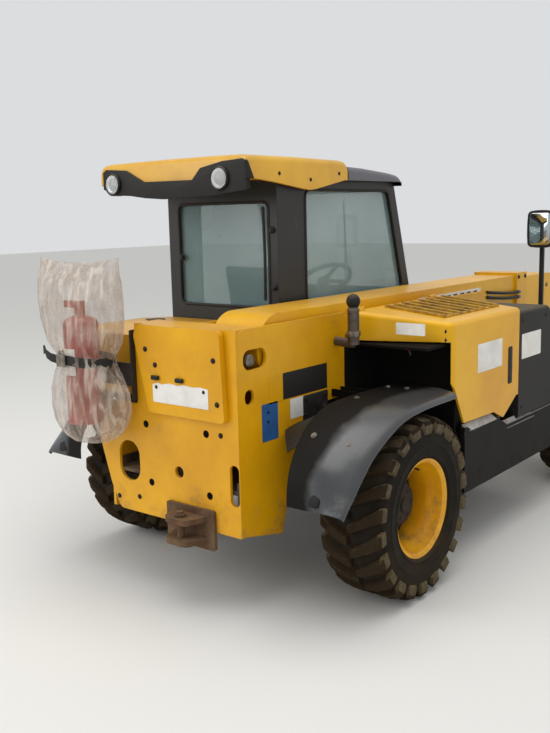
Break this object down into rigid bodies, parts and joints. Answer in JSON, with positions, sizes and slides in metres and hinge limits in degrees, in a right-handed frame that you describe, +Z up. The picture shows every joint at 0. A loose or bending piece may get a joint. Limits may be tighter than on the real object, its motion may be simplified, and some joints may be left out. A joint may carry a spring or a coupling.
{
  "type": "compact telehandler",
  "caption": "Compact telescopic handler with an enclosed cab beside a low boom that carries pallet forks, and an engine under a side hood.",
  "frame": {"origin": "on the ground, in the middle of the length over hitch and fork tips and on the centre line", "axes": "+X forward towards the forks, +Y to the left, the cab's side, +Z up"},
  "size_m": [5.2618, 1.877, 1.9895],
  "materials": {
    "yellow_enamel": "yellow enamel, semi-gloss, dusty",
    "black_enamel": "black enamel with dried mud",
    "black_moulding": "black moulded plastic",
    "cab_enamel": "black enamel, semi-gloss",
    "tinted_glass": "green tinted safety glass",
    "engine_iron": "painted casting",
    "exhaust_steel": "heat-stained steel",
    "red_enamel": "red enamel",
    "clear_film": "creased translucent film",
    "lamp_lens": "clear lens over a reflector",
    "seat_fabric": "dark woven seat cover",
    "chrome_rod": "hard chromed rod",
    "rim_enamel": "yellow enamel on the rim, muddy hub",
    "tyre_rubber": "black rubber with mud"
  },
  "bodies": {
    "chassis": {"chassis_frame": "black_enamel", "rear_body": "yellow_enamel", "rear_panel": "yellow_enamel", "rear_axle": "black_enamel", "front_axle": "black_enamel", "engine_block": "engine_iron", "engine_bay_liner": "black_moulding", "side_skirt": "black_moulding", "intake_box": "black_moulding", "exhaust_stub": "exhaust_steel", "hydraulic_tank": "black_moulding", "left_step": "black_moulding", "tow_hitch": "black_enamel", "extinguisher_bracket": "black_moulding", "extinguisher": "red_enamel", "extinguisher_bag": "clear_film", "cab_frame": "cab_enamel", "cab_glass": "tinted_glass", "cab_roof": "yellow_enamel", "roof_visor": "black_moulding", "lamps": "lamp_lens", "seat_base": "black_moulding", "seat_cushions": "seat_fabric", "dashboard": "black_moulding", "steering_wheel": "black_moulding", "mirrors": "black_moulding", "rear_fenders": "black_moulding", "front_fenders": "black_moulding"},
    "outer_boom": {"outer_boom": "yellow_enamel"},
    "inner_boom": {"inner_boom": "yellow_enamel"},
    "carriage": {"carriage": "black_enamel", "forks": "black_enamel"},
    "lift_barrel": {"lift_barrel": "black_enamel"},
    "lift_rod": {"lift_rod": "chrome_rod"},
    "tilt_barrel": {"tilt_barrel": "black_enamel"},
    "tilt_rod": {"tilt_rod": "chrome_rod"},
    "door": {"door_frame": "cab_enamel", "door_glass": "tinted_glass"},
    "hood": {"hood": "yellow_enamel", "hood_grille": "yellow_enamel"},
    "knuckle_rear_left": {"knuckle_rear_left": "black_enamel"},
    "wheel_rear_left": {"rim_rear_left": "rim_enamel", "tyre_rear_left": "tyre_rubber"},
    "knuckle_rear_right": {"knuckle_rear_right": "black_enamel"},
    "wheel_rear_right": {"rim_rear_right": "rim_enamel", "tyre_rear_right": "tyre_rubber"},
    "knuckle_front_left": {"knuckle_front_left": "black_enamel"},
    "wheel_front_left": {"rim_front_left": "rim_enamel", "tyre_front_left": "tyre_rubber"},
    "knuckle_front_right": {"knuckle_front_right": "black_enamel"},
    "wheel_front_right": {"rim_front_right": "rim_enamel", "tyre_front_right": "tyre_rubber"}
  },
  "joints": [
    {"name": "boom_lift", "type": "hinge", "parent": "chassis", "child": "outer_boom", "pos_m": [-2.097, -0.235, 1.14], "axis": [0, -1, 0], "range_deg": [0, 60]},
    {"name": "boom_extend", "type": "slide", "parent": "outer_boom", "child": "inner_boom", "axis": [1, 0, 0], "range_m": [0, 1.9]},
    {"name": "carriage_tilt", "type": "hinge", "parent": "inner_boom", "child": "carriage", "pos_m": [1.158, -0.235, 0.45], "axis": [0, 1, 0], "range_deg": [-15, 60]},
    {"name": "lift_barrel_turn", "type": "hinge", "parent": "chassis", "child": "lift_barrel", "pos_m": [-1.797, -0.235, 0.615], "axis": [0, -1, 0], "range_deg": [0, 54.93]},
    {"name": "lift_rod_slide", "type": "slide", "parent": "lift_barrel", "child": "lift_rod", "axis": [0.9669, 0, 0.2552], "range_m": [0, 0.5922]},
    {"name": "tilt_barrel_turn", "type": "hinge", "parent": "inner_boom", "child": "tilt_barrel", "pos_m": [0.793, -0.235, 1.13], "axis": [0, 1, 0], "range_deg": [-1.38, 5.16]},
    {"name": "tilt_rod_slide", "type": "slide", "parent": "tilt_barrel", "child": "tilt_rod", "axis": [0.7881, 0, -0.6155], "range_m": [-0.0786, 0.3114]},
    {"name": "door_hinge", "type": "hinge", "parent": "chassis", "child": "door", "pos_m": [-1.33, 0.8677, 0.65], "axis": [0, 0, 1], "range_deg": [0, 100]},
    {"name": "hood_hinge", "type": "hinge", "parent": "chassis", "child": "hood", "pos_m": [-1.577, -0.402, 1.256], "axis": [-1, 0, 0], "range_deg": [0, 70]},
    {"name": "rear_left_steer", "type": "hinge", "parent": "chassis", "child": "knuckle_rear_left", "pos_m": [-1.767, 0.6, 0.415], "axis": [0, 0, 1], "range_deg": [-27, 27]},
    {"name": "rear_left_spin", "type": "hinge", "parent": "knuckle_rear_left", "child": "wheel_rear_left", "pos_m": [-1.767, 0.7675, 0.415], "axis": [0, 1, 0], "continuous": true},
    {"name": "rear_right_steer", "type": "hinge", "parent": "chassis", "child": "knuckle_rear_right", "pos_m": [-1.767, -0.6, 0.415], "axis": [0, 0, 1], "range_deg": [-27.1, 27.1]},
    {"name": "rear_right_spin", "type": "hinge", "parent": "knuckle_rear_right", "child": "wheel_rear_right", "pos_m": [-1.767, -0.7675, 0.415], "axis": [0, 1, 0], "continuous": true},
    {"name": "front_left_steer", "type": "hinge", "parent": "chassis", "child": "knuckle_front_left", "pos_m": [0.533, 0.6, 0.415], "axis": [0, 0, 1], "range_deg": [-27, 27]},
    {"name": "front_left_spin", "type": "hinge", "parent": "knuckle_front_left", "child": "wheel_front_left", "pos_m": [0.533, 0.7675, 0.415], "axis": [0, 1, 0], "continuous": true},
    {"name": "front_right_steer", "type": "hinge", "parent": "chassis", "child": "knuckle_front_right", "pos_m": [0.533, -0.6, 0.415], "axis": [0, 0, 1], "range_deg": [-27.1, 27.1]},
    {"name": "front_right_spin", "type": "hinge", "parent": "knuckle_front_right", "child": "wheel_front_right", "pos_m": [0.533, -0.7675, 0.415], "axis": [0, 1, 0], "continuous": true}
  ],
  "couplings": [
    {"joint": "lift_barrel_turn", "follows": "boom_lift", "ratio": 0.9122},
    {"joint": "lift_rod_slide", "follows": "boom_lift", "m_per_rad": 0.5645},
    {"joint": "tilt_barrel_turn", "follows": "carriage_tilt", "ratio": 0.0841},
    {"joint": "tilt_rod_slide", "follows": "carriage_tilt", "m_per_rad": 0.2964},
    {"joint": "rear_right_steer", "follows": "rear_left_steer", "ratio": 1},
    {"joint": "front_right_steer", "follows": "front_left_steer", "ratio": 1}
  ]
}
